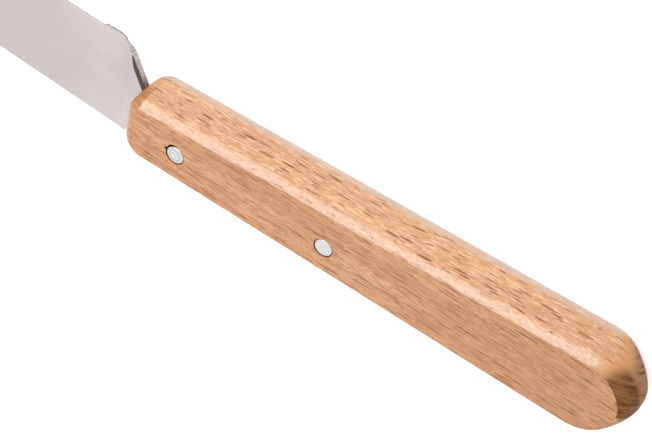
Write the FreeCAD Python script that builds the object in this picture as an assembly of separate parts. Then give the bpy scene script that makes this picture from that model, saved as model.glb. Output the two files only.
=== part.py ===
"""Palette knife: a flexible steel blade whose tang is riveted into a one-piece beech handle.

All lengths are millimetres. While the pieces are being made, X runs along the tang from the
handle's front end (x = 0) towards the butt, Y lies across the blade towards its heel, and
Z = 0 is the broad side that the handle lies on. The finished pieces are then shifted together,
so that the origin is the centre of the whole knife's box, on the surface that it lies on.
"""
import FreeCAD, Part
import os
from math import atan, cos, degrees, pi, radians, sin, sqrt, tan

from FreeCAD import Vector

# Handle
HANDLE_LENGTH = 117.5      # front end to the butt's furthest point
LOWER_SIDE_FRONT = -7.30   # y of the lower narrow side at the front end
LOWER_SIDE_BUTT = -6.90    # and at the butt
UPPER_SIDE_FRONT = 7.75    # y of the upper narrow side at the front end
UPPER_SIDE_BUTT = 13.95    # and at the butt
THICKNESS_FRONT = 12.3
THICKNESS_BUTT = 11.55
FRONT_LOWER_RADIUS = 5.0   # corner radius of the front end, seen square to the broad side
FRONT_UPPER_RADIUS = 4.2
EDGE_ROUNDING = 1.7
BUTT_ROLL_TOP = 2.8        # the butt's end rolls back this far to the upper broad side
BUTT_ROLL_BOTTOM = 8.7     # and this far to the broad side that the handle lies on

# Blade, with the tang's centre line as y = 0
BLADE_LENGTH = 150.0       # handle's front end to the tip
HEEL_HEIGHT = 16.25        # y of the unground heel
HEEL_CORNER_X = -6.2       # where the heel meets the shoulder, before its rounding
HEEL_CORNER_RADIUS = 1.3
HEEL_ANGLE = 48.0          # the thin part of the shoulder falls away at this angle, degrees
HEEL_DROP = 3.6            # and over this height
SHOULDER_ANGLE = 57.5      # the thick part then runs down to the tang at this angle, degrees
STEP_X = -10.6             # where the ground edge drops below the heel
STEP_RUN = 0.8
GROUND_EDGE_Y = 15.65      # y of the ground edge just in front of the step
EDGE_BELLY = 1.0           # how far the ground edge bows out between the step and the tip
SPINE_CORNER_X = -2.3      # where the straight lower edge meets its shoulder
SPINE_CORNER_Y = -8.45
SPINE_SLOPE = -0.041       # y per x: the blade narrows towards the tip
TIP_RUN = 9.0              # length of the rounded tip
THIN_BLADE = 0.45          # thickness of the flexible part
TIP_THICKNESS = 0.38
STOCK_THICKNESS = 2.5      # thickness of the tang and of the blade's root
RUN_OUT_START_X = -5.1     # the thin grind starts to ramp up here
RUN_OUT_END_X = -2.3       # and reaches the full stock here
SHOULDER_LAND = 1.3        # height of the shoulder's wall between its two chamfers
GROUND_BEVEL_WIDTH = 0.45  # the ground edge's small bevels, seen square to the blade
GROUND_BEVEL_DEPTH = 0.12

# Tang and its fastening
TANG_HALF_WIDTH = 5.0
TANG_END_HALF_WIDTH = 4.2
TANG_LENGTH = 58.0
RIVET_DIAMETER = 4.2
RIVET_STATIONS = {"front_rivet": 13.4, "rear_rivet": 49.65}
RIVET_FLAT_RADIUS = 1.45   # flat middle of the peened head
RIVET_HEAD_DROP = 0.16     # how far the head's rim lies below its middle
RIVET_RECESS = 0.03        # the head's middle lies this far inside the wood
FIT_CLEARANCE = 0.05       # all round, between the tang or a rivet and its hole

LOWER_SLOPE = (LOWER_SIDE_BUTT - LOWER_SIDE_FRONT) / HANDLE_LENGTH
UPPER_SLOPE = (UPPER_SIDE_BUTT - UPPER_SIDE_FRONT) / HANDLE_LENGTH
MID_PLANE = THICKNESS_FRONT / 2
MARGIN = 20.0              # how far cutting and trimming solids reach past what they trim
ON_THE_PLANE = 0.01        # a point this close to a plane lies on it
SHEET_NORMAL = 0.9         # a face whose normal has this much z is one of the broad sides


def thickness_at(x):
    """Handle thickness at a station."""
    return THICKNESS_FRONT + (THICKNESS_BUTT - THICKNESS_FRONT) * x / HANDLE_LENGTH


def chain(*edges):
    """A closed wire from edges given in order."""
    return Part.Wire([edge.toShape() for edge in edges])


def line(start, end):
    return Part.LineSegment(start, end)


def plan_prism(wire, bottom, top):
    """Extrude a flat outline drawn at z = 0 between two heights."""
    prism = Part.Face(wire).extrude(Vector(0, 0, top - bottom))
    prism.translate(Vector(0, 0, bottom))
    return prism


def side_prism(wire):
    """Extrude an outline drawn in the XZ plane across the whole width of the knife."""
    reach = HEEL_HEIGHT + MARGIN
    prism = Part.Face(wire).extrude(Vector(0, 2 * reach, 0))
    prism.translate(Vector(0, -reach, 0))
    return prism


def handle_outline():
    """Two straight sides that spread towards the butt, closed by an arc tangent to both."""
    half_angle = (atan(UPPER_SLOPE) - atan(LOWER_SLOPE)) / 2
    front_width = UPPER_SIDE_FRONT - LOWER_SIDE_FRONT
    width_slope = UPPER_SLOPE - LOWER_SLOPE
    half = cos(half_angle) / 2
    centre_x = (HANDLE_LENGTH - front_width * half) / (1 + width_slope * half)
    radius = HANDLE_LENGTH - centre_x
    lower_y = LOWER_SIDE_FRONT + LOWER_SLOPE * centre_x
    upper_y = UPPER_SIDE_FRONT + UPPER_SLOPE * centre_x
    centre = Vector(centre_x, (lower_y + upper_y) / 2, 0)

    lower_turn = atan(LOWER_SLOPE)
    upper_turn = atan(UPPER_SLOPE)
    lower_end = centre + Vector(sin(lower_turn), -cos(lower_turn), 0) * radius
    upper_end = centre + Vector(-sin(upper_turn), cos(upper_turn), 0) * radius
    apex = centre + Vector(radius, 0, 0)
    front_lower = Vector(0, LOWER_SIDE_FRONT, 0)
    front_upper = Vector(0, UPPER_SIDE_FRONT, 0)
    return chain(
        line(front_lower, lower_end),
        Part.Arc(lower_end, apex, upper_end),
        line(upper_end, front_upper),
        line(front_upper, front_lower),
    )


def handle_side_view():
    """Flat on the lying side, sloping gently down to the butt on the other."""
    before, behind = -MARGIN, HANDLE_LENGTH + MARGIN
    return Part.makePolygon([
        Vector(before, 0, 0),
        Vector(behind, 0, 0),
        Vector(behind, 0, thickness_at(behind)),
        Vector(before, 0, thickness_at(before)),
        Vector(before, 0, 0),
    ])


def is_front_corner(edge, side):
    """True for the upright edge of the front end that lies on the given side of the tang."""
    start, end = edge.Vertexes[0].Point, edge.Vertexes[-1].Point
    at_front = max(start.x, end.x) < ON_THE_PLANE
    upright = abs(start.y - end.y) < ON_THE_PLANE
    return at_front and upright and start.y * side > 0


def butt_roll():
    """Side view of the domed butt: a steep arc above the mid-plane, a long oval one below it."""
    furthest = Vector(HANDLE_LENGTH, 0, MID_PLANE)
    top_x = HANDLE_LENGTH - BUTT_ROLL_TOP
    top = Vector(top_x, 0, thickness_at(top_x))
    rise = top.z - MID_PLANE
    radius = (rise ** 2 + BUTT_ROLL_TOP ** 2) / (2 * BUTT_ROLL_TOP)
    turn = atan(rise / (radius - BUTT_ROLL_TOP)) / 2
    top_middle = furthest + Vector(radius * (cos(turn) - 1), 0, radius * sin(turn))
    oval_centre = furthest - Vector(BUTT_ROLL_BOTTOM, 0, 0)
    bottom = oval_centre - Vector(0, 0, MID_PLANE)
    oval = Part.Ellipse(furthest, bottom, oval_centre)
    above = Vector(0, 0, MARGIN)
    return chain(
        Part.ArcOfEllipse(oval, 0, pi / 2),
        line(bottom, bottom - above),
        line(bottom - above, Vector(-MARGIN, 0, -MARGIN)),
        line(Vector(-MARGIN, 0, -MARGIN), Vector(-MARGIN, 0, top.z + MARGIN)),
        line(Vector(-MARGIN, 0, top.z + MARGIN), top + above),
        line(top + above, top),
        Part.Arc(top, top_middle, furthest),
    )


def handle_body():
    """The beech blank: rounded front corners, every long edge softened, then the domed butt."""
    blank = plan_prism(handle_outline(), 0, THICKNESS_FRONT + MARGIN)
    for side, radius in ((-1, FRONT_LOWER_RADIUS), (1, FRONT_UPPER_RADIUS)):
        corner = [edge for edge in blank.Edges if is_front_corner(edge, side)]
        blank = blank.makeFillet(radius, corner)
    blank = blank.common(side_prism(handle_side_view())).Solids[0]
    broad_faces = [face for face in blank.Faces if abs(face.normalAt(0, 0).z) > SHEET_NORMAL]
    rims = [edge for face in broad_faces for edge in face.Edges]
    return blank.makeFillet(EDGE_ROUNDING, rims).common(side_prism(butt_roll()))


def shoulder_tops():
    """Where the two thick shoulders start: the bend below the heel, and the spine's corner."""
    bend_x = HEEL_CORNER_X + HEEL_DROP / tan(radians(HEEL_ANGLE))
    bend = Vector(bend_x, HEEL_HEIGHT - HEEL_DROP, 0)
    return bend, Vector(SPINE_CORNER_X, SPINE_CORNER_Y, 0)


def tang_outline():
    """Shoulders at one angle, running into a tang that narrows towards its end."""
    fall = tan(radians(SHOULDER_ANGLE))
    bend, spine_corner = shoulder_tops()
    upper_root = Vector(bend.x + (bend.y - TANG_HALF_WIDTH) / fall, TANG_HALF_WIDTH, 0)
    lower_rise = -TANG_HALF_WIDTH - SPINE_CORNER_Y
    lower_root = Vector(SPINE_CORNER_X + lower_rise / fall, -TANG_HALF_WIDTH, 0)
    upper_end = Vector(TANG_LENGTH, TANG_END_HALF_WIDTH, 0)
    lower_end = Vector(TANG_LENGTH, -TANG_END_HALF_WIDTH, 0)
    return upper_root, upper_end, lower_end, lower_root


def spine_end():
    """Where the straight spine runs into the rounded tip."""
    x = TIP_RUN - BLADE_LENGTH
    return Vector(x, SPINE_CORNER_Y + SPINE_SLOPE * (x - SPINE_CORNER_X), 0)


def ground_edge():
    """Three points of the ground edge's arc, from the rounded tip to the step at the heel."""
    tip_end = spine_end() + Vector(0, 2 * TIP_RUN, 0)
    step_end = Vector(STEP_X - STEP_RUN, GROUND_EDGE_Y, 0)
    middle = (step_end + tip_end) / 2 + Vector(0, EDGE_BELLY, 0)
    return tip_end, middle, step_end


def blade_outline():
    """Plan of the whole steel piece, from the tip to the end of the tang."""
    upper_root, upper_end, lower_end, lower_root = tang_outline()
    bend, spine_corner = shoulder_tops()
    edge_end, edge_middle, edge_start = ground_edge()
    tip = Vector(-BLADE_LENGTH, (spine_end().y + edge_end.y) / 2, 0)
    step_top = Vector(STEP_X, HEEL_HEIGHT, 0)

    turn = radians(HEEL_ANGLE)
    tangent_length = HEEL_CORNER_RADIUS * tan(turn / 2)
    round_start = Vector(HEEL_CORNER_X - tangent_length, HEEL_HEIGHT, 0)
    round_centre = round_start - Vector(0, HEEL_CORNER_RADIUS, 0)
    round_middle = round_centre + Vector(sin(turn / 2), cos(turn / 2), 0) * HEEL_CORNER_RADIUS
    round_end = round_centre + Vector(sin(turn), cos(turn), 0) * HEEL_CORNER_RADIUS
    return chain(
        line(spine_corner, spine_end()),
        Part.Arc(spine_end(), tip, edge_end),
        Part.Arc(edge_end, edge_middle, edge_start),
        line(edge_start, step_top),
        line(step_top, round_start),
        Part.Arc(round_start, round_middle, round_end),
        line(round_end, bend),
        line(bend, upper_root),
        line(upper_root, upper_end),
        line(upper_end, lower_end),
        line(lower_end, lower_root),
        line(lower_root, spine_corner),
    )


def blade_side_view():
    """Thin and almost parallel, then a ramp on both sides up to the full stock of the tang."""
    stations = (
        (-BLADE_LENGTH - MARGIN, TIP_THICKNESS / 2),
        (RUN_OUT_START_X, THIN_BLADE / 2),
        (RUN_OUT_END_X, STOCK_THICKNESS / 2),
        (TANG_LENGTH + MARGIN, STOCK_THICKNESS / 2),
    )
    above = [Vector(x, 0, MID_PLANE + half) for x, half in stations]
    below = [Vector(x, 0, MID_PLANE - half) for x, half in reversed(stations)]
    return Part.makePolygon(above + below + above[:1])


def wall_bevel(corner, direction, outward, land, side):
    """A 45 degree wedge along one wall of the thick root that leaves only the land of it."""
    land_edge = corner + Vector(0, 0, MID_PLANE + side * land / 2)
    reach = STOCK_THICKNESS
    away = Vector(outward.x, outward.y, -side) * (reach / 2)
    back = Vector(-outward.x, -outward.y, side) * reach
    beyond = Vector(outward.x, outward.y, side) * reach
    section = Part.makePolygon([
        land_edge + away,
        land_edge + back,
        land_edge + back + beyond,
        land_edge + away,
    ])
    return Part.Face(section).extrude(direction)


def root_walls():
    """The walls of the thick root as corner, run along the wall, outward direction and land."""
    upper_root, upper_end, lower_end, lower_root = tang_outline()
    bend, spine_corner = shoulder_tops()
    turn = radians(SHOULDER_ANGLE)
    into_heel = (bend - upper_root).normalize() * HEEL_DROP / 2
    along_spine = Vector(1, SPINE_SLOPE, 0).normalize()
    spine_start = spine_corner + along_spine * STOCK_THICKNESS
    spine_run = along_spine * (RUN_OUT_START_X - RUN_OUT_END_X - 2 * STOCK_THICKNESS)
    away_from_spine = Vector(along_spine.y, -along_spine.x, 0)
    return (
        (bend + into_heel, upper_root - bend - into_heel, Vector(sin(turn), cos(turn), 0),
         SHOULDER_LAND),
        (spine_corner, lower_root - spine_corner, Vector(sin(turn), -cos(turn), 0), SHOULDER_LAND),
        (spine_start, spine_run, away_from_spine, THIN_BLADE),
    )


def ground_bevel(side):
    """A wedge that follows the ground edge's arc and leaves a narrow bevel along it."""
    edge_end, edge_middle, edge_start = ground_edge()
    centre = Part.Arc(edge_end, edge_middle, edge_start).toShape().Curve.Center
    outward = (edge_start - centre).normalize()
    to_tip = edge_end - centre
    at_edge = edge_start + Vector(0, 0, MID_PLANE + side * (THIN_BLADE / 2 - GROUND_BEVEL_DEPTH))
    across = outward * GROUND_BEVEL_WIDTH
    up = Vector(0, 0, side * GROUND_BEVEL_DEPTH)
    section = Part.makePolygon([
        at_edge - across * 2 + up * 2,
        at_edge + across - up,
        at_edge + across + up * 2,
        at_edge - across * 2 + up * 2,
    ])
    sweep = degrees(outward.getAngle(to_tip))
    return Part.Face(section).revolve(centre, outward.cross(to_tip), sweep)


def blade_body():
    """Plan and side view trimmed to each other, bevelled edges, two rivet holes."""
    blade = plan_prism(blade_outline(), 0, THICKNESS_FRONT)
    blade = blade.common(side_prism(blade_side_view())).Solids[0]
    for side in (1, -1):
        blade = blade.cut(ground_bevel(side))
    for corner, run, outward, land in root_walls():
        for side in (1, -1):
            blade = blade.cut(wall_bevel(corner, run, outward, land, side))
    for x in RIVET_STATIONS.values():
        blade = blade.cut(rivet_hole(x))
    return blade


def mortise():
    """The blind slot: the tang's own outline with clearance, opening at the front end."""
    upper_root, upper_end, lower_end, lower_root = tang_outline()
    bend, spine_corner = shoulder_tops()
    corners = [bend, upper_root, upper_end, lower_end, lower_root, spine_corner, bend]
    grown = Part.Face(Part.makePolygon(corners)).makeOffset2D(FIT_CLEARANCE, join=2)
    half_height = STOCK_THICKNESS / 2 + FIT_CLEARANCE
    return plan_prism(grown.OuterWire, MID_PLANE - half_height, MID_PLANE + half_height)


def rivet_hole(x):
    radius = RIVET_DIAMETER / 2 + FIT_CLEARANCE
    height = THICKNESS_FRONT + 2 * MARGIN
    return Part.makeCylinder(radius, height, Vector(x, 0, -MARGIN), Vector(0, 0, 1))


def handle():
    """The beech piece with its mortise and rivet holes."""
    wood = handle_body().cut(mortise())
    for x in RIVET_STATIONS.values():
        wood = wood.cut(rivet_hole(x))
    return wood


def rivet(x):
    """A solid pin peened flush on both sides: a flat middle with a rounded shoulder."""
    radius = RIVET_DIAMETER / 2
    low = RIVET_RECESS
    high = thickness_at(x) - RIVET_RECESS
    shoulder = radius - RIVET_FLAT_RADIUS
    bulge = RIVET_FLAT_RADIUS + shoulder * sqrt(0.5)
    sag = RIVET_HEAD_DROP * (1 - sqrt(0.5))
    half_section = chain(
        line(Vector(0, 0, low), Vector(RIVET_FLAT_RADIUS, 0, low)),
        Part.Arc(Vector(RIVET_FLAT_RADIUS, 0, low), Vector(bulge, 0, low + sag),
                 Vector(radius, 0, low + RIVET_HEAD_DROP)),
        line(Vector(radius, 0, low + RIVET_HEAD_DROP), Vector(radius, 0, high - RIVET_HEAD_DROP)),
        Part.Arc(Vector(radius, 0, high - RIVET_HEAD_DROP), Vector(bulge, 0, high - sag),
                 Vector(RIVET_FLAT_RADIUS, 0, high)),
        line(Vector(RIVET_FLAT_RADIUS, 0, high), Vector(0, 0, high)),
        line(Vector(0, 0, high), Vector(0, 0, low)),
    )
    pin = Part.Face(half_section).revolve(Vector(0, 0, 0), Vector(0, 0, 1), 360)
    pin.translate(Vector(x, 0, 0))
    return pin


def main():
    pieces = {"handle": handle(), "blade": blade_body()}
    for name, x in RIVET_STATIONS.items():
        pieces[name] = rivet(x)
    box = Part.makeCompound(list(pieces.values())).optimalBoundingBox(False, False)
    to_origin = Vector(-(box.XMin + box.XMax) / 2, -(box.YMin + box.YMax) / 2, -box.ZMin)
    os.makedirs("parts", exist_ok=True)
    for name, shape in pieces.items():
        solid = shape.Solids[0]
        solid.translate(to_origin)
        solid.exportStep(f"parts/{name}.step")
        extent = solid.optimalBoundingBox(False, False)
        print(name, len(shape.Solids), solid.isValid(), round(solid.Volume, 1),
              [round(v, 2) for v in (extent.XMin, extent.XMax, extent.YMin, extent.YMax,
                                     extent.ZMin, extent.ZMax)])
    print("shift", [round(v, 3) for v in to_origin])


main()
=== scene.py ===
"""A palette knife with a riveted beech handle, lying on a pale studio floor."""

import math

import bpy
from mathutils import Matrix, Vector


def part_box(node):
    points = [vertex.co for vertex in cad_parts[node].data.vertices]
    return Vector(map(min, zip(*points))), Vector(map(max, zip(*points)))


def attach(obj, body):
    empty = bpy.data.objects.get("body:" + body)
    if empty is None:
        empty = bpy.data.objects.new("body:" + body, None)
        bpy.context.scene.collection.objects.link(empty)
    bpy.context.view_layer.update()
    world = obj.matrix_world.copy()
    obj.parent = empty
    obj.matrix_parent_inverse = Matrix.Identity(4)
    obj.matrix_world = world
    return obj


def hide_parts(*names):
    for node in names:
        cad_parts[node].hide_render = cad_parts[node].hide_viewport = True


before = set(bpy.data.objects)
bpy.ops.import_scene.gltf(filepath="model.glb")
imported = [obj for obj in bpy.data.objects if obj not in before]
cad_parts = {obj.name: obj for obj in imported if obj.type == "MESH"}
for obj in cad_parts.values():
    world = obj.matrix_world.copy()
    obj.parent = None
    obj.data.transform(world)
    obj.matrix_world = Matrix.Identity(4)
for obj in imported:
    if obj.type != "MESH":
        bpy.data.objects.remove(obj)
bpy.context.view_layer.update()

MM = 0.001

# ---------------------------------------------------------------- the knife's own frame
# Millimetres: x = 0 is the handle's front end and grows towards the butt, y = 0 is the tang's
# centre line and grows towards the blade's heel, z = 0 is the side that lies on the floor.
HANDLE_LOW, HANDLE_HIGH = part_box("handle")
RIVET_LOW, RIVET_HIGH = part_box("front_rivet")
REAR_LOW, REAR_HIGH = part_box("rear_rivet")
ORIGIN = Vector((HANDLE_LOW.x, (RIVET_LOW.y + RIVET_HIGH.y) / 2, 0))
HANDLE_LENGTH = (HANDLE_HIGH.x - HANDLE_LOW.x) / MM
FRONT_RIVET_X = ((RIVET_LOW.x + RIVET_HIGH.x) / 2 - ORIGIN.x) / MM
REAR_RIVET_X = ((REAR_LOW.x + REAR_HIGH.x) / 2 - ORIGIN.x) / MM


def place(x, y, z):
    """A point of the knife's own frame, in metres of the scene."""
    return ORIGIN + Vector((x, y, z)) * MM


# ---------------------------------------------------------------- driving values, in mm
LOWER_SIDE = (-7.30, -6.90)    # y at the front end and at the butt
UPPER_SIDE = (7.75, 13.95)
THICKNESS = (12.28, 11.55)
FRONT_LOWER_RADIUS = 5.0
FRONT_UPPER_RADIUS = 4.0
BUTT_SEMI_AXIS = 11.37         # the butt's plan is nearly half an ellipse, this long
BUTT_FULLNESS = 0.935          # below 1 it is a little fuller than an ellipse
BUTT_SLANT = 1.13              # and its upper half stands out further than its lower half
BUTT_SPREAD = 1.11             # how quickly the narrow sides turn into the butt's dome
# How far the near broad face's edge lies inside the butt's outline. Round the butt, 0 is the
# lower narrow side's end, 0.5 the middle and 1 the upper narrow side's end.
BUTT_LOWER_INSET = (2.02, 2.81)
BUTT_UPPER_INSET = ((0.5, 2.81), (0.57, 3.15), (0.667, 3.45), (0.764, 3.20),
                    (0.82, 2.75), (0.89, 2.30), (1.0, 1.7))
BUTT_FAR_INSET = 8.7           # the same for the broad face that lies on the floor
BUTT_SOFT_REACH = 1.37         # the lower half's soft rounding is wider by this factor
BUTT_SOFT_SPAN = (0.52, 0.40)  # the edge turns from crisp to soft over this part of the butt
SIDE_ROUNDING = 1.7            # how far a broad face's edge lies inside the outline elsewhere
FRONT_ROUNDING_NEAR = 1.66
FRONT_ROUNDING_FAR = 3.0
FRONT_DOME = 0.67              # how far the front end falls back towards the broad faces
# Angle left at the edge between the near broad face and its rounding
UPPER_CRISP = math.radians(20)
LOWER_CRISP = math.radians(2)
FRONT_CRISP = math.radians(12)

STATION_STEP = 1.0             # spacing of the mesh along the narrow sides
ARC_STEPS = 14                 # steps of the mesh round a front corner,
BUTT_STEPS = 72                # round the butt,
LEVELS = 40                    # from one broad face to the other
RIM_STEPS = 96                 # and round a rivet's hole
SHARP_ANGLE = math.radians(12) # the mesh is shaded smooth across flatter edges than this

RIVET_HOLE_RADIUS = 2.15
SLOT_HALF_WIDTH = 5.1
SLOT_HALF_HEIGHT = 1.3
SLOT_DEPTH = 20.0              # the mortise's mouth only: the tang behind it lies in solid wood
MID_Z = 6.15
CUT_FROM = -5.0                # cutters start here, outside the wood
CUT_TO = 20.0                  # and end above it

# Camera: position and axes in the knife's own frame
CAMERA_AT = (113.142, 219.690, 200.476)
CAMERA_RIGHT = (0.82622, 0.21189, -0.52198)
CAMERA_DOWN = (0.51720, -0.65259, 0.55375)
CAMERA_FORWARD = (-0.22330, -0.72748, -0.64877)
CAMERA_CLIP = 0.01             # metres
FOCAL_PIXELS = 1500.0
IMAGE_WIDTH = 652.0
SENSOR_WIDTH = 36.0


def mix(a, b, t):
    return a + (b - a) * t


def thickness_at(x):
    return mix(THICKNESS[0], THICKNESS[1], x / HANDLE_LENGTH)


# ---------------------------------------------------------------- handle
def side_lines():
    lower_slope = (LOWER_SIDE[1] - LOWER_SIDE[0]) / HANDLE_LENGTH
    upper_slope = (UPPER_SIDE[1] - UPPER_SIDE[0]) / HANDLE_LENGTH
    return lower_slope, upper_slope


def station(x, y, normal, near, far, dome, crisp, butt=0.0, butt_inset=1.0, soft=0.0):
    """One place on the handle's outline, and how its wall is shaped there."""
    return {"x": x, "y": y, "normal": normal, "near": near, "far": far, "dome": dome,
            "crisp": crisp, "butt": butt, "butt_inset": butt_inset, "soft": soft}


def straight_stations(start_x, end_x, base_y, slope, side, crisp):
    """Stations along a narrow side, without its two ends."""
    count = max(2, int(abs(end_x - start_x) / STATION_STEP))
    angle = math.atan(slope)
    normal = (math.sin(angle), -math.cos(angle)) if side < 0 else (-math.sin(angle), math.cos(angle))
    for i in range(1, count):
        x = mix(start_x, end_x, i / count)
        yield station(x, base_y + slope * x, normal, SIDE_ROUNDING, SIDE_ROUNDING, 0.0, crisp)


def corner_stations(centre_x, centre_y, radius, start, end, opening, crisp):
    """Round a front corner; opening is True where the front end comes first."""
    for i in range(ARC_STEPS + 1):
        t = i / ARC_STEPS
        angle = mix(start, end, t)
        blend = t if opening else 1 - t
        c, s = math.cos(angle), math.sin(angle)
        yield station(centre_x + radius * c, centre_y + radius * s, (c, s),
                      mix(FRONT_ROUNDING_NEAR, SIDE_ROUNDING, blend),
                      mix(FRONT_ROUNDING_FAR, SIDE_ROUNDING, blend),
                      FRONT_DOME * (1 - blend), mix(FRONT_CRISP, crisp, blend))


def smooth_step(value, low, high):
    t = min(max((value - low) / (high - low), 0.0), 1.0)
    return t * t * (3 - 2 * t)


def along_table(table, t):
    """Straight-line interpolation in (t, value) pairs."""
    for (t0, v0), (t1, v1) in zip(table, table[1:]):
        if t <= t1:
            return mix(v0, v1, (t - t0) / (t1 - t0))
    return table[-1][1]


def butt_stations(lower_slope, upper_slope):
    """Round the butt from the lower narrow side to the upper one."""
    centre_x = HANDLE_LENGTH - BUTT_SEMI_AXIS
    low = LOWER_SIDE[0] + lower_slope * centre_x
    high = UPPER_SIDE[0] + upper_slope * centre_x
    half = (high - low) / 2
    for i in range(BUTT_STEPS + 1):
        t = i / BUTT_STEPS
        angle = mix(-math.pi / 2, math.pi / 2, t)
        c, s = math.cos(angle), math.sin(angle)
        nx, ny = c / BUTT_SEMI_AXIS, s / half
        size = math.hypot(nx, ny)
        x = centre_x + BUTT_SEMI_AXIS * abs(c) ** BUTT_FULLNESS + BUTT_SLANT * s * c * c
        butt = smooth_step((1 - abs(2 * t - 1)) * BUTT_SPREAD, 0.0, 1.0)
        lower = t < 0.5
        inset = mix(*BUTT_LOWER_INSET, 2 * t) if lower else along_table(BUTT_UPPER_INSET, t)
        yield station(min(x, HANDLE_LENGTH), (low + high) / 2 + half * s, (nx / size, ny / size),
                      SIDE_ROUNDING if lower else inset, SIDE_ROUNDING, 0.0,
                      LOWER_CRISP if lower else UPPER_CRISP, butt, inset,
                      smooth_step(t, *BUTT_SOFT_SPAN))


def outline_stations():
    """Once round the handle, from the lower front corner."""
    lower_slope, upper_slope = side_lines()
    lower_turn, upper_turn = math.atan(lower_slope), math.atan(upper_slope)
    butt_x = HANDLE_LENGTH - BUTT_SEMI_AXIS
    low_y = LOWER_SIDE[0] + lower_slope * FRONT_LOWER_RADIUS + FRONT_LOWER_RADIUS / math.cos(lower_turn)
    high_y = UPPER_SIDE[0] + upper_slope * FRONT_UPPER_RADIUS - FRONT_UPPER_RADIUS / math.cos(upper_turn)
    found = list(corner_stations(FRONT_LOWER_RADIUS, low_y, FRONT_LOWER_RADIUS,
                                 math.pi, 1.5 * math.pi + lower_turn, True, LOWER_CRISP))
    found += straight_stations(FRONT_LOWER_RADIUS, butt_x, LOWER_SIDE[0], lower_slope, -1, LOWER_CRISP)
    found += butt_stations(lower_slope, upper_slope)
    found += straight_stations(butt_x, FRONT_UPPER_RADIUS, UPPER_SIDE[0], upper_slope, 1, UPPER_CRISP)
    found += corner_stations(FRONT_UPPER_RADIUS, high_y, FRONT_UPPER_RADIUS,
                             math.pi / 2 + upper_turn, math.pi, False, UPPER_CRISP)
    for i in range(1, ARC_STEPS):
        y = mix(high_y, low_y, i / ARC_STEPS)
        found.append(station(0.0, y, (-1.0, 0.0), FRONT_ROUNDING_NEAR, FRONT_ROUNDING_FAR,
                             FRONT_DOME, FRONT_CRISP))
    return found


def rounding_inset(height, half, inset, crisp):
    """How far a rounded edge has drawn in, at a height above the middle."""
    radius = inset / (1 - math.sin(crisp))
    foot = half - radius * math.cos(crisp)
    above = min(max(height - foot, 0.0), radius)
    return radius - math.sqrt(radius * radius - above * above)


def oval_inset(height, half, inset):
    """The same for a wall that is a quarter of an oval and meets the broad face smoothly."""
    return inset * (1 - math.sqrt(max(0.0, 1 - (height / half) ** 2)))


def dome_inset(height, half, inset):
    """The same for a wall that is one arc from the middle to the broad face, where it ends crisply."""
    radius = (half * half + inset * inset) / (2 * inset)
    return radius - math.sqrt(radius * radius - height * height)


def section(spot):
    """One station's points from the far broad face to the near one."""
    half = thickness_at(spot["x"]) / 2
    points = []
    for i in range(LEVELS + 1):
        level = math.sin(mix(-math.pi / 2, math.pi / 2, i / LEVELS))
        height = min(abs(level), 1.0) * half
        if level > 0:
            straight = rounding_inset(height, half, spot["near"], spot["crisp"])
            domed = mix(dome_inset(height, half, spot["butt_inset"]),
                        oval_inset(height, half, spot["butt_inset"] * BUTT_SOFT_REACH), spot["soft"])
        else:
            straight = rounding_inset(height, half, spot["far"], 0.0)
            domed = oval_inset(height, half, BUTT_FAR_INSET)
        inset = mix(straight, domed, spot["butt"]) + spot["dome"] * level * level
        x = spot["x"] - spot["normal"][0] * inset
        y = spot["y"] - spot["normal"][1] * inset
        if level < 0:
            x = min(x, HANDLE_LENGTH - oval_inset(height, half, BUTT_FAR_INSET))
        points.append((x, y, thickness_at(x) / 2 * (1 + level)))
    return points


def mesh_object(name, vertices, faces):
    mesh = bpy.data.meshes.new(name)
    mesh.from_pydata([place(*v) for v in vertices], [], faces)
    mesh.validate()
    obj = bpy.data.objects.new(name, mesh)
    bpy.context.scene.collection.objects.link(obj)
    return obj


def handle_shell():
    sections = [section(s) for s in outline_stations()]
    rows, count = len(sections[0]), len(sections)
    vertices = [p for ring in sections for p in ring]
    faces = []
    for i in range(count):
        j = (i + 1) % count
        for k in range(rows - 1):
            faces.append((i * rows + k, j * rows + k, j * rows + k + 1, i * rows + k + 1))
    faces.append([i * rows for i in reversed(range(count))])
    faces.append([i * rows + rows - 1 for i in range(count)])
    return mesh_object("handle_wood", vertices, faces)


def prism(name, loop, bottom, top):
    """A closed upright prism on a loop of (x, y) points, counter-clockwise."""
    n = len(loop)
    vertices = [(x, y, bottom) for x, y in loop] + [(x, y, top) for x, y in loop]
    faces = [tuple(reversed(range(n))), tuple(range(n, 2 * n))]
    faces += [(i, (i + 1) % n, n + (i + 1) % n, n + i) for i in range(n)]
    return mesh_object(name, vertices, faces)


def chipped_circle(x, chips):
    """A rivet hole's rim; each chip is (angle, half width, depth), angles in degrees."""
    loop = []
    for i in range(RIM_STEPS):
        degrees = 360 * i / RIM_STEPS
        radius = RIVET_HOLE_RADIUS
        for centre, width, depth in chips:
            away = abs((degrees - centre + 180) % 360 - 180) / width
            if away < 1:
                radius += depth * (0.5 + 0.5 * math.cos(math.pi * away))
        loop.append((x + radius * math.cos(math.radians(degrees)),
                     radius * math.sin(math.radians(degrees))))
    return loop


def subtract(obj, cutter):
    modifier = obj.modifiers.new("cut", "BOOLEAN")
    modifier.operation = "DIFFERENCE"
    modifier.solver = "EXACT"
    modifier.object = cutter
    bpy.context.view_layer.update()
    evaluated = obj.evaluated_get(bpy.context.evaluated_depsgraph_get())
    mesh = bpy.data.meshes.new_from_object(evaluated)
    obj.modifiers.clear()
    obj.data = mesh
    bpy.data.objects.remove(cutter)


FRONT_CHIPS = [(116, 68, 0.48), (168, 14, 0.62)]   # the front rivet's hole has a torn rim
CHIP_FLOOR = 9.5                                   # z that the tear reaches down to


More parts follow.
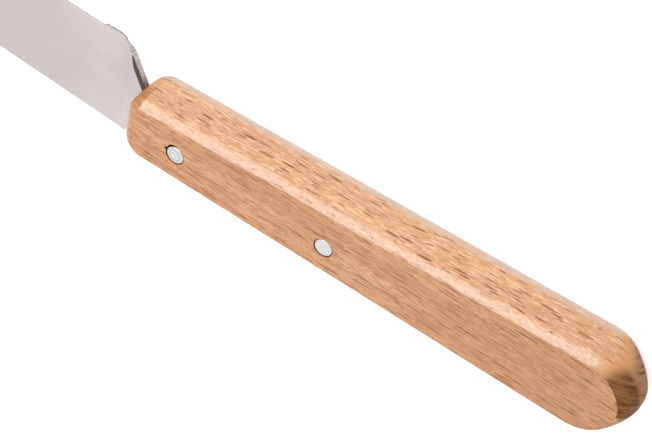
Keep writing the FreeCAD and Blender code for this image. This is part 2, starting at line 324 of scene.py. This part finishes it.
def build_handle():
    obj = handle_shell()
    subtract(obj, prism("cut_front", chipped_circle(FRONT_RIVET_X, []), CUT_FROM, CUT_TO))
    subtract(obj, prism("cut_chip", chipped_circle(FRONT_RIVET_X, FRONT_CHIPS), CHIP_FLOOR, CUT_TO))
    subtract(obj, prism("cut_rear", chipped_circle(REAR_RIVET_X, []), CUT_FROM, CUT_TO))
    half = SLOT_HALF_WIDTH
    slot = [(CUT_FROM, -half), (SLOT_DEPTH, -half), (SLOT_DEPTH, half), (CUT_FROM, half)]
    subtract(obj, prism("cut_slot", slot, MID_Z - SLOT_HALF_HEIGHT, MID_Z + SLOT_HALF_HEIGHT))
    obj.data.polygons.foreach_set("use_smooth", [True] * len(obj.data.polygons))
    obj.data.set_sharp_from_angle(angle=SHARP_ANGLE)
    return obj


# ---------------------------------------------------------------- materials
TEXTURE_LOW, TEXTURE_HIGH = 0.2, 0.8   # nearly all of a noise texture lies between these
DASH_CHOICE = 0.02                     # softness of the choice which cells hold a mark
DASH_SMALLEST = 0.5                    # size of the smallest mark, in largest ones
DASH_FAINTEST = 0.60                   # strength of the faintest mark


class Nodes:
    """Short-hand for building one node tree."""

    def __init__(self, tree):
        self.tree = tree
        tree.nodes.clear()

    def add(self, kind, inputs=None, **settings):
        node = self.tree.nodes.new(kind)
        for key, value in settings.items():
            setattr(node, key, value)
        for key, value in (inputs or {}).items():
            socket = node.inputs[key]
            if isinstance(value, bpy.types.NodeSocket):
                self.tree.links.new(value, socket)
            else:
                socket.default_value = value
        return node

    def math(self, operation, a, b=0.0, clamp=False):
        return self.add("ShaderNodeMath", {0: a, 1: b}, operation=operation, use_clamp=clamp).outputs[0]

    def scaled(self, vector, factors):
        return self.add("ShaderNodeVectorMath", {0: vector, 1: factors}, operation="MULTIPLY").outputs[0]

    def noise(self, vector, detail=2.0, distortion=0.0, roughness=0.5, dimensions="3D"):
        inputs = {"Vector": vector, "Scale": 1.0, "Detail": detail, "Roughness": roughness,
                  "Distortion": distortion}
        return self.add("ShaderNodeTexNoise", inputs, noise_dimensions=dimensions).outputs["Fac"]

    def remap(self, value, low, high, to_low=0.0, to_high=1.0):
        return self.add("ShaderNodeMapRange", {0: value, 1: low, 2: high, 3: to_low, 4: to_high},
                        interpolation_type="SMOOTHSTEP", clamp=True).outputs[0]

    def mix_colour(self, factor, a, b):
        node = self.add("ShaderNodeMix", data_type="RGBA")
        for key, value in ((0, factor), (6, a), (7, b)):
            if isinstance(value, bpy.types.NodeSocket):
                self.tree.links.new(value, node.inputs[key])
            else:
                node.inputs[key].default_value = value
        return node.outputs[2]

    def millimetres(self):
        """The piece's own coordinates in mm."""
        where = self.add("ShaderNodeTexCoord").outputs["Object"]
        return self.scaled(where, (1000, 1000, 1000))

    def position(self):
        """The same, and its x, y and z in the knife's own frame."""
        mm = self.millimetres()
        x, y, z = self.add("ShaderNodeSeparateXYZ", {0: mm}).outputs
        along = self.math("SUBTRACT", x, ORIGIN.x / MM)
        return mm, along, self.math("SUBTRACT", y, ORIGIN.y / MM), z

    def facing(self):
        """The surface's own direction, which doesn't depend on where it is seen from."""
        return self.add("ShaderNodeTexCoord").outputs["Normal"]

    def towards(self, direction):
        """Cosine between the surface's own direction and the given one."""
        unit = Vector(direction).normalized()
        dot = self.add("ShaderNodeVectorMath", {0: self.facing(), 1: unit}, operation="DOT_PRODUCT")
        return dot.outputs["Value"]

    def radius(self, x, y, centre_x):
        """Distance from an upright axis on the tang's centre line."""
        side = self.math("SUBTRACT", x, centre_x)
        offset = self.add("ShaderNodeCombineXYZ", {0: side, 1: y}).outputs[0]
        return self.add("ShaderNodeVectorMath", {0: offset}, operation="LENGTH").outputs["Value"]

    def plane(self, along, across, length, width):
        """Flat texture coordinates with cells of the given length and width, in mm."""
        x = self.math("DIVIDE", along, length)
        y = self.math("DIVIDE", across, width)
        return self.add("ShaderNodeCombineXYZ", {0: x, 1: y}).outputs[0]

    def flat_noise(self, plane, **shape):
        return self.noise(plane, dimensions="2D", **shape)

    def follow(self, texture, low, high):
        """A value that follows a texture between two limits."""
        limits = {0: texture, 1: TEXTURE_LOW, 2: TEXTURE_HIGH, 3: low, 4: high}
        return self.add("ShaderNodeMapRange", limits).outputs[0]

    def dashes(self, plane, density, size, edge):
        """Random lens-shaped marks: one in each cell that is chosen, with random sizes."""
        cells = self.add("ShaderNodeTexVoronoi", {"Vector": plane, "Scale": 1.0, "Randomness": 1.0},
                         voronoi_dimensions="2D")
        chance = self.add("ShaderNodeSeparateColor", {0: cells.outputs["Color"]})
        threshold = 1 - density
        present = self.remap(chance.outputs[0], threshold - DASH_CHOICE, threshold + DASH_CHOICE)
        reach = self.remap(chance.outputs[1], 0.0, 1.0, size * DASH_SMALLEST, size)
        inside = self.math("SUBTRACT", reach, cells.outputs["Distance"])
        strength = self.remap(chance.outputs[2], 0.0, 1.0, DASH_FAINTEST, 1.0)
        mark = self.math("MULTIPLY", self.remap(inside, 0.0, edge), present)
        return self.math("MULTIPLY", mark, strength)


def new_material(name):
    material = bpy.data.materials.new(name)
    material.use_nodes = True
    return material, Nodes(material.node_tree)


def finish_material(n, colour, roughness, metallic, height, bump_strength, bump_distance):
    bump = n.add("ShaderNodeBump", {"Strength": bump_strength, "Distance": bump_distance,
                                    "Height": height})
    shader = n.add("ShaderNodeBsdfPrincipled", {"Base Color": colour, "Roughness": roughness,
                                                "Metallic": metallic, "Normal": bump.outputs[0]})
    n.add("ShaderNodeOutputMaterial", {"Surface": shader.outputs[0]})
    return shader


WOOD_LIGHT = (0.680, 0.388, 0.210, 1)
WOOD_BASE = (0.575, 0.285, 0.140, 1)
WOOD_PINK = (0.530, 0.255, 0.142, 1)
WOOD_STREAK = (0.180, 0.068, 0.024, 1)
WOOD_FLECK = (0.190, 0.070, 0.016, 1)
WOOD_BUTT_SHADE = (0.460, 0.215, 0.100, 1)   # painted shade: the wood is darkened a little towards the butt
TOP_LIGHT = (0.680, 0.455, 0.300, 1)
TOP_GOLD = (0.500, 0.270, 0.120, 1)
# Painted highlight on the upper ridge, then painted reflection of the floor low on the upper narrow side
WOOD_RIDGE_HIGHLIGHT = (0.700, 0.505, 0.410, 1)
WOOD_FLOOR_REFLECTION = (0.470, 0.410, 0.370, 1)
END_ORANGE = (0.390, 0.140, 0.046, 1)
END_GOLD = (0.500, 0.235, 0.075, 1)
# Round the butt: a painted reflection in pink, and painted shade in dark brown that also draws the
# end-grain lines
END_PINK_REFLECTION = (0.210, 0.098, 0.062, 1)
END_SHADE_AND_LINES = (0.105, 0.031, 0.003, 1)
# painted shade inside the rivets' holes, and dark dirt round their edges
HOLE_SHADE_AND_DIRT = (0.020, 0.009, 0.006, 1)


# Cells over which marks are scattered: mm along the grain and mm across it
VESSEL_CELL = (12.0, 0.60)
FINE_VESSEL_CELL = (4.6, 0.36)
HAIR_CELL = (5.0, 0.30)
FLECK_CELL = (6.5, 1.00)
SMALL_FLECK_CELL = (3.2, 0.50)
CURL_CELL = (3.2, 0.45)
END_STREAK_CELL = (5.0, 0.9)
END_LINE_CELL = (8.0, 1.1)
# Marks: the share of cells that hold one, its size in cells, and how soft its edge is
VESSEL = (0.85, 0.25, 0.04)
FINE_VESSEL = (0.85, 0.34, 0.09)
FLECK = (0.65, 0.29, 0.05)
SMALL_FLECK = (0.75, 0.30, 0.10)
END_LINE = (0.60, 0.27, 0.05)
FINE_VESSEL_STRENGTH = 0.60
HAIR_STRENGTH = 0.50
SMALL_FLECK_STRENGTH = 0.55
STREAK_STRENGTH = 0.92
# How quickly the wood's colour changes, per mm along the grain and across it
BAND_SCALE = (0.012, 0.55, 0.55)
PATCH_SCALE = (0.06, 0.25, 0.25)
FIBRE_SCALE = (0.7, 5.0, 5.0)
# the painted highlight and the painted floor reflection are broken up at this scale
SHEEN_SCALE = (1.2, 3.5, 3.5)
WANDER_SCALE = (0.035, 0.09, 0.09)
GRAIN_DRIFT = 3.0              # mm that the grain wanders sideways
END_SLANT = 0.43               # how much the butt's lines lean
# Masks: the value where one starts and where it ends, then what it gives there if not 0 and 1
HAIRS = (0.46, 0.26)
BANDS = (0.32, 0.68)
PATCHES = (0.3, 0.7, 0.10, 0.70)
SHADED_BUTT = (50.0, 118.0, 0.0, 0.45)             # mm along the handle
FIBRES = (0.58, 0.30, 0.0, 0.45)
CURL_LIGHT = (0.48, 0.68, 0.0, 0.85)
CURL_GOLD = (0.54, 0.34, 0.0, 0.90)
BROAD_FACE = (0.80, 0.97)                          # by how much the surface faces up or down
# Where the painted ridge highlight and the painted floor reflection lie, and how they break up
RIDGE_SIDEWAYS, RIDGE_UPWARDS = (0.20, 0.40), (0.12, 0.60)
RIDGE_GRAIN = (0.30, 0.66, 0.85, 0.30)
FOOT_SIDEWAYS, FOOT_HEIGHT = (0.3, 0.6), (3.9, 1.3)
FOOT_GRAIN = (0.30, 0.66, 1.0, 0.60)
FOOT_STRENGTH = 0.85
FLECKS_IN_SHEEN = (0.0, 0.7, 0.95, 0.12)
WALL_LEVEL, WALL_SIDE = (0.22, 0.32), (-0.30, -0.05)
FRONT_TURN, FRONT_SIDEWAYS = (-0.13, -0.22), (0.10, 0.35)
FRONT_HEIGHT = (5.0, 9.5, 0.3, 0.95)
FRONT_STREAKS = (0.3, 0.7, 1.0, 0.75)
GOLD_TURN, GOLD_STRENGTH = (0.04, 0.40), 0.88
PAST_GOLD = (0.28, 0.60)
# where the butt's painted reflection and painted shade lie
PINK_HEIGHT, PINK_STREAKS = (8.8, 7.0), (0.3, 0.7, 0.75, 1.0)
DARK_HEIGHT, DARK_STREAKS = (7.0, 8.6), (0.3, 0.7, 1.0, 0.70)
TEAR_REACH, TEAR_HEIGHT = (3.6, 3.3), (12.0, 11.7)
DIRTY_RIM = (2.34, 2.16, 0.0, 0.60)                # mm from a rivet's axis
WOOD_ROUGHNESS = (0.38, 0.52)
ROUGHER_BUTT = (0.2, 0.6, 0.0, 0.30)
WOOD_BUMP = (0.35, 0.00008)                        # strength, and height in metres
WOOD_SPECULAR = 0.25
WOOD_COAT, WOOD_COAT_ROUGHNESS = 0.03, 0.30
LEAST_LEVEL = 0.01                                 # keeps a division away from zero


def broad_face_marks(n, along, across):
    """Long fine vessel lines, as on the quartered face of beech."""
    dark = n.dashes(n.plane(along, across, *VESSEL_CELL), *VESSEL)
    fine = n.dashes(n.plane(along, across, *FINE_VESSEL_CELL), *FINE_VESSEL)
    hair = n.flat_noise(n.plane(along, across, *HAIR_CELL), detail=3.0, roughness=0.7)
    marks = n.math("MAXIMUM", dark, n.math("MULTIPLY", fine, FINE_VESSEL_STRENGTH))
    return n.math("MAXIMUM", marks, n.math("MULTIPLY", n.remap(hair, *HAIRS), HAIR_STRENGTH))


def narrow_face_marks(n, along, across):
    """Shorter, bolder ray flecks, as on the flat-sawn face, and a curly figure between them."""
    bold = n.dashes(n.plane(along, across, *FLECK_CELL), *FLECK)
    small = n.dashes(n.plane(along, across, *SMALL_FLECK_CELL), *SMALL_FLECK)
    marks = n.math("MAXIMUM", bold, n.math("MULTIPLY", small, SMALL_FLECK_STRENGTH))
    curl = n.flat_noise(n.plane(along, across, *CURL_CELL), detail=4.0, distortion=0.5, roughness=0.65)
    return marks, curl


def beech_colour(n, mm, along):
    """The wood's colour before any marks: bands, patches and fibres, with painted shade towards the
    butt.
    """
    bands = n.noise(n.scaled(mm, BAND_SCALE))
    patches = n.noise(n.scaled(mm, PATCH_SCALE))
    fibre = n.noise(n.scaled(mm, FIBRE_SCALE), detail=3.0, roughness=0.7)
    colour = n.mix_colour(n.remap(bands, *BANDS), WOOD_PINK, WOOD_LIGHT)
    colour = n.mix_colour(n.remap(patches, *PATCHES), colour, WOOD_BASE)
    # painted shade, darkening the wood towards the butt
    colour = n.mix_colour(n.remap(along, *SHADED_BUTT), colour, WOOD_BUTT_SHADE)
    return n.mix_colour(n.remap(fibre, *FIBRES), colour, WOOD_STREAK), fibre


def painted_edge_sheen(n, facing, z, mm, colour):
    """Painted highlight on the upper ridge, and a painted reflection of the floor along the foot of the
    upper narrow side.
    """
    grain = n.noise(n.scaled(mm, SHEEN_SCALE), detail=3.0, roughness=0.7)
    ridge = n.math("MULTIPLY", n.remap(facing[1], *RIDGE_SIDEWAYS), n.remap(facing[2], *RIDGE_UPWARDS))
    ridge = n.math("MULTIPLY", ridge, n.remap(grain, *RIDGE_GRAIN))
    foot = n.math("MULTIPLY", n.remap(facing[1], *FOOT_SIDEWAYS), n.remap(z, *FOOT_HEIGHT))
    foot = n.math("MULTIPLY", foot, n.remap(grain, *FOOT_GRAIN))
    # painted highlight on the ridge, then painted reflection of the floor at the foot
    colour = n.mix_colour(ridge, colour, WOOD_RIDGE_HIGHLIGHT)
    colour = n.mix_colour(n.math("MULTIPLY", foot, FOOT_STRENGTH), colour, WOOD_FLOOR_REFLECTION)
    return colour, n.math("MAXIMUM", ridge, foot)


def end_grain_and_painted_light(n, facing, z, across, colour):
    """Orange end grain at the front's upper corner; round the butt, golden end grain with dark lines,
    painted shade in dark brown and a painted reflection in pink.
    """
    sideways = n.add("ShaderNodeCombineXYZ", {0: facing[0], 1: facing[1]}).outputs[0]
    level = n.add("ShaderNodeVectorMath", {0: sideways}, operation="LENGTH").outputs["Value"]
    turn = n.math("DIVIDE", facing[0], n.math("MAXIMUM", level, LEAST_LEVEL))
    side = n.math("DIVIDE", facing[1], n.math("MAXIMUM", level, LEAST_LEVEL))
    wall = n.math("MULTIPLY", n.remap(level, *WALL_LEVEL), n.remap(side, *WALL_SIDE))
    streaks = n.flat_noise(n.plane(z, across, *END_STREAK_CELL), detail=3.0, roughness=0.7)

    front = n.math("MULTIPLY", n.remap(facing[0], *FRONT_TURN), n.remap(facing[1], *FRONT_SIDEWAYS))
    front = n.math("MULTIPLY", front, n.remap(streaks, *FRONT_STREAKS))
    colour = n.mix_colour(n.math("MULTIPLY", front, n.remap(z, *FRONT_HEIGHT)), colour, END_ORANGE)

    butt = n.math("MULTIPLY", n.remap(turn, *GOLD_TURN), wall)
    colour = n.mix_colour(n.math("MULTIPLY", butt, GOLD_STRENGTH), colour, END_GOLD)
    # painted reflection in pink and painted shade in dark brown, past the golden end grain
    past = n.math("MULTIPLY", n.remap(turn, *PAST_GOLD), wall)
    pink = n.math("MULTIPLY", past, n.remap(z, *PINK_HEIGHT))
    pink = n.math("MULTIPLY", pink, n.remap(streaks, *PINK_STREAKS))
    colour = n.mix_colour(pink, colour, END_PINK_REFLECTION)
    dark = n.math("MULTIPLY", past, n.remap(z, *DARK_HEIGHT))
    dark = n.math("MULTIPLY", dark, n.remap(streaks, *DARK_STREAKS))
    colour = n.mix_colour(dark, colour, END_SHADE_AND_LINES)
    # dark end-grain lines on the butt
    lines = n.dashes(n.plane(z, across, *END_LINE_CELL), *END_LINE)
    return n.mix_colour(n.math("MULTIPLY", lines, butt), colour, END_SHADE_AND_LINES)


def rivet_surround(n, along, y, z, colour):
    """Painted shade inside the rivets' holes and in the torn rim of the front one, and dark dirt round
    the holes' edges.
    """
    near = n.math("MINIMUM", n.radius(along, y, FRONT_RIVET_X), n.radius(along, y, REAR_RIVET_X))
    # painted shade in the holes and the tear; dark dirt along the holes' edges
    inside = n.math("MULTIPLY", n.remap(near, *TEAR_REACH), n.remap(z, *TEAR_HEIGHT))
    return n.mix_colour(n.math("MAXIMUM", inside, n.remap(near, *DIRTY_RIM)), colour, HOLE_SHADE_AND_DIRT)


def wood_material():
    material, n = new_material("beech")
    mm, along, y, z = n.position()
    facing = n.add("ShaderNodeSeparateXYZ", {0: n.facing()}).outputs
    wander = n.noise(n.scaled(mm, WANDER_SCALE), detail=1.0)
    drift = n.math("MULTIPLY", wander, GRAIN_DRIFT)
    broad = n.remap(n.math("ABSOLUTE", facing[2]), *BROAD_FACE)
    narrow = n.math("SUBTRACT", 1.0, broad)

    colour, fibre = beech_colour(n, mm, along)
    streaks = n.math("MULTIPLY", broad_face_marks(n, along, n.math("ADD", y, drift)), broad)
    flecks, curl = narrow_face_marks(n, along, n.math("ADD", z, drift))
    colour = n.mix_colour(n.math("MULTIPLY", n.remap(curl, *CURL_LIGHT), narrow), colour, TOP_LIGHT)
    colour = n.mix_colour(n.math("MULTIPLY", n.remap(curl, *CURL_GOLD), narrow), colour, TOP_GOLD)
    # painted highlight and painted floor reflection; the flecks fade under them
    colour, sheen = painted_edge_sheen(n, facing, z, mm, colour)
    colour = n.mix_colour(n.math("MULTIPLY", streaks, STREAK_STRENGTH), colour, WOOD_STREAK)
    flecks = n.math("MULTIPLY", n.math("MULTIPLY", flecks, narrow), n.remap(sheen, *FLECKS_IN_SHEEN))
    colour = n.mix_colour(flecks, colour, WOOD_FLECK)
    slanted = n.math("SUBTRACT", y, n.math("MULTIPLY", z, END_SLANT))
    colour = end_grain_and_painted_light(n, facing, z, slanted, colour)
    colour = rivet_surround(n, along, y, z, colour)

    marks = n.math("ADD", streaks, flecks)
    height = n.math("SUBTRACT", n.math("MULTIPLY", fibre, 0.5), marks)
    roughness = n.follow(fibre, *WOOD_ROUGHNESS)
    roughness = n.math("ADD", roughness, n.remap(facing[0], *ROUGHER_BUTT))
    shader = finish_material(n, colour, roughness, 0.0, height, *WOOD_BUMP)
    shader.inputs["Specular IOR Level"].default_value = WOOD_SPECULAR
    shader.inputs["Coat Weight"].default_value = WOOD_COAT
    shader.inputs["Coat Roughness"].default_value = WOOD_COAT_ROUGHNESS
    return material


STEEL_LIGHT = (0.850, 0.790, 0.780, 1)
STEEL_DARK = (0.765, 0.695, 0.690, 1)
STEEL_STAIN = (0.15, 0.135, 0.12, 1)
STEEL_EDGE = (0.050, 0.046, 0.042, 1)
ROOT_DARK_REFLECTION = (0.032, 0.021, 0.013, 1)      # painted dark reflection on the root's bevels, and painted reflection of the wood on the walls beside it
ROOT_START = -3.6                     # mm; the painted dark on the bevels lies between here and the wood
ROOT_RAMP = 0.5                       # and fades in over this length
BRUSH_SCALE = (9.0, 0.35, 3.0)        # how quickly the grinding marks change, per mm
CLOUD_SCALE = (0.06, 0.10, 0.10)
SPECK_SCALE = (3.2, 3.2, 3.2)
CLOUDS = (0.3, 0.7)
# painted shade: the blade's face darkens towards its tip
SHADED_BLADE_TIP = (-8.0, -30.0, 0.0, 0.8)
BRUSH_MARKS = (0.6, 0.35, 0.0, 0.15)
STEEL_WALLS = (0.6, 0.2)              # by how much the surface faces up or down
NEAR_WOOD = (-0.8, 1.8)
STAINS = (0.40, 0.62, 0.55, 1.0)
EDGE_TO_STAIN = (-5.6, -4.2)
BEVEL_SIDEWAYS, BEVEL_UPWARDS = (0.25, 0.40), (0.3, 0.5)
WOOD_REFLECTION_STRENGTH = 0.85
PAINTED_DARK_METALLIC = 0.1
PAINTED_DARK_ROUGHNESS = 0.3
STEEL_ROUGHNESS = (0.32, 0.44)
STEEL_BUMP = (0.10, 0.00003)


def steel_material():
    material, n = new_material("satin_steel")
    mm, along = n.position()[:2]
    brushed = n.noise(n.scaled(mm, BRUSH_SCALE), detail=3.0, roughness=0.6)
    cloud = n.noise(n.scaled(mm, CLOUD_SCALE), detail=3.0)
    specks = n.noise(n.scaled(mm, SPECK_SCALE), detail=4.0, roughness=0.7)
    upright = n.math("ABSOLUTE", n.add("ShaderNodeSeparateXYZ", {0: n.facing()}).outputs[2])
    colour = n.mix_colour(n.remap(cloud, *CLOUDS), STEEL_DARK, STEEL_LIGHT)
    # painted shade towards the blade's tip
    colour = n.mix_colour(n.remap(along, *SHADED_BLADE_TIP), colour, STEEL_DARK)
    colour = n.mix_colour(n.remap(brushed, *BRUSH_MARKS), colour, STEEL_DARK)
    walls = n.remap(upright, *STEEL_WALLS)
    at_root = n.remap(along, ROOT_START, ROOT_START + ROOT_RAMP)
    stained = n.math("MULTIPLY", walls, n.remap(specks, *STAINS))
    stain = n.mix_colour(n.remap(along, *EDGE_TO_STAIN), STEEL_EDGE, STEEL_STAIN)
    colour = n.mix_colour(stained, colour, stain)
    # painted dark reflection on the root's bevels, painted reflection of the wood on the walls next to
    # it
    sideways = n.remap(n.towards((0, 1, 0)), *BEVEL_SIDEWAYS)
    bevels = n.math("MULTIPLY", n.math("MULTIPLY", sideways, n.remap(upright, *BEVEL_UPWARDS)), at_root)
    dark_walls = n.math("MULTIPLY", n.math("MULTIPLY", walls, n.remap(along, *NEAR_WOOD)), WOOD_REFLECTION_STRENGTH)
    painted_dark = n.math("MAXIMUM", bevels, dark_walls)
    colour = n.mix_colour(painted_dark, colour, ROOT_DARK_REFLECTION)
    # where it is painted, the steel is made nearly non-metallic and rougher
    metallic = n.remap(painted_dark, 0.0, 1.0, 1.0, PAINTED_DARK_METALLIC)
    roughness = n.follow(brushed, *STEEL_ROUGHNESS)
    roughness = n.math("ADD", roughness, n.math("MULTIPLY", painted_dark, PAINTED_DARK_ROUGHNESS), clamp=True)
    finish_material(n, colour, roughness, metallic, brushed, *STEEL_BUMP)
    return material


RIVET_COLOUR = (0.98, 0.98, 0.97, 1)
RIVET_DULL = (0.86, 0.85, 0.84, 1)
RIVET_RIM = (0.16, 0.12, 0.10, 1)
DENT_SCALE = (1.6, 1.6, 1.6)          # per mm
GRIT_SCALE = (7.0, 7.0, 7.0)
GRIT = (0.35, 0.65)
GROOVE_RADIUS = 1.30                  # mm; the tool has left a faint ring on the front rivet
GROOVE = (0.22, 0.05)
GROOVE_DARKNESS, GROOVE_DEPTH = 0.25, 0.6
DARK_RIM = (1.90, 2.06)
GRIT_HEIGHT = 0.3
RIVET_ROUGHNESS = (0.28, 0.45)
RIVET_BUMP = (0.4, 0.0001)


def rivet_material():
    material, n = new_material("rivet_aluminium")
    mm, along, y = n.position()[:3]
    front_radius = n.radius(along, y, FRONT_RIVET_X)
    radius = n.math("MINIMUM", front_radius, n.radius(along, y, REAR_RIVET_X))
    dents = n.noise(n.scaled(mm, DENT_SCALE), detail=3.0)
    grit = n.noise(n.scaled(mm, GRIT_SCALE), detail=3.0, roughness=0.7)
    colour = n.mix_colour(n.remap(grit, *GRIT), RIVET_DULL, RIVET_COLOUR)
    off_groove = n.math("ABSOLUTE", n.math("SUBTRACT", front_radius, GROOVE_RADIUS))
    groove = n.remap(off_groove, *GROOVE)
    colour = n.mix_colour(n.math("MULTIPLY", groove, GROOVE_DARKNESS), colour, RIVET_RIM)
    colour = n.mix_colour(n.remap(radius, *DARK_RIM), colour, RIVET_RIM)
    roughness = n.follow(grit, *RIVET_ROUGHNESS)
    height = n.math("ADD", dents, n.math("MULTIPLY", grit, GRIT_HEIGHT))
    height = n.math("SUBTRACT", height, n.math("MULTIPLY", groove, GROOVE_DEPTH))
    finish_material(n, colour, roughness, 1.0, height, *RIVET_BUMP)
    return material


FLOOR_COLOUR = (0.80, 0.80, 0.80, 1)
FLOOR_GLOW = 0.56


def floor_material():
    material, n = new_material("pale_floor")
    diffuse = n.add("ShaderNodeBsdfDiffuse", {"Color": FLOOR_COLOUR})
    glow = n.add("ShaderNodeEmission", {"Color": (1, 1, 1, 1), "Strength": FLOOR_GLOW})
    both = n.add("ShaderNodeAddShader", {0: diffuse.outputs[0], 1: glow.outputs[0]})
    n.add("ShaderNodeOutputMaterial", {"Surface": both.outputs[0]})
    return material


def paint(obj, material):
    obj.data.materials.clear()
    obj.data.materials.append(material)


# ---------------------------------------------------------------- stage
FLOOR_HALF = 3.0               # metres


def add_floor():
    mesh = bpy.data.meshes.new("floor")
    corners = [(x * FLOOR_HALF, y * FLOOR_HALF, 0) for x, y in ((-1, -1), (1, -1), (1, 1), (-1, 1))]
    mesh.from_pydata(corners, [], [(0, 1, 2, 3)])
    floor = bpy.data.objects.new("floor", mesh)
    bpy.context.scene.collection.objects.link(floor)
    paint(floor, floor_material())


SKY_HORIZON = 0.30
SKY_ZENITH = 0.58
SKY_BACK = 0.81                # the whole sky on the spine's side
SKY_BACK_SPAN = (-0.25, -0.60) # where that side starts and is reached, by direction
KEY_DIRECTION = (-0.22, 0.51, 0.83)
KEY_DISTANCE, KEY_SIZE = 0.9, 0.8      # metres
KEY_POWER = 9.0                # watts


def add_sky():
    world = bpy.data.worlds.new("studio")
    bpy.context.scene.world = world
    world.use_nodes = True
    n = Nodes(world.node_tree)
    direction = n.add("ShaderNodeTexCoord").outputs["Generated"]
    parts = n.add("ShaderNodeSeparateXYZ", {0: direction})
    limits = {0: parts.outputs[2], 1: 0.0, 2: 1.0, 3: SKY_HORIZON, 4: SKY_ZENITH}
    level = n.add("ShaderNodeMapRange", limits).outputs[0]
    back = n.remap(parts.outputs[1], *SKY_BACK_SPAN)
    front = n.math("MULTIPLY", level, n.math("SUBTRACT", 1.0, back))
    level = n.math("ADD", front, n.math("MULTIPLY", back, SKY_BACK))
    sky = n.add("ShaderNodeBackground", {"Color": (1, 1, 1, 1), "Strength": level})
    n.add("ShaderNodeOutputWorld", {"Surface": sky.outputs[0]})


def add_softbox(name, direction, distance, size, power):
    """A square area light facing the knife."""
    light = bpy.data.lights.new(name, "AREA")
    light.shape = "SQUARE"
    light.size = size
    light.energy = power
    obj = bpy.data.objects.new(name, light)
    target = place(HANDLE_LENGTH / 2, 0, MID_Z)
    away = Vector(direction).normalized()
    obj.location = target + away * distance
    obj.rotation_mode = "QUATERNION"
    obj.rotation_quaternion = away.to_track_quat("Z", "Y")
    bpy.context.scene.collection.objects.link(obj)


def add_camera():
    data = bpy.data.cameras.new("camera")
    data.sensor_fit = "HORIZONTAL"
    data.sensor_width = SENSOR_WIDTH
    data.lens = FOCAL_PIXELS / IMAGE_WIDTH * SENSOR_WIDTH
    data.clip_start = CAMERA_CLIP
    camera = bpy.data.objects.new("camera", data)
    right, down, ahead = Vector(CAMERA_RIGHT), Vector(CAMERA_DOWN), Vector(CAMERA_FORWARD)
    turn = Matrix((right, -down, -ahead)).transposed()
    camera.matrix_world = Matrix.Translation(place(*CAMERA_AT)) @ turn.to_4x4()
    bpy.context.scene.collection.objects.link(camera)
    bpy.context.scene.camera = camera


def main():
    handle = build_handle()
    paint(handle, wood_material())
    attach(handle, "root")
    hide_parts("handle")

    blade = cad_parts["blade"]
    paint(blade, steel_material())
    metal = rivet_material()
    for name in ("front_rivet", "rear_rivet"):
        paint(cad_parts[name], metal)

    add_floor()
    add_sky()
    add_softbox("key", KEY_DIRECTION, KEY_DISTANCE, KEY_SIZE, KEY_POWER)
    add_camera()
    bpy.context.scene.view_settings.view_transform = "Standard"


main()
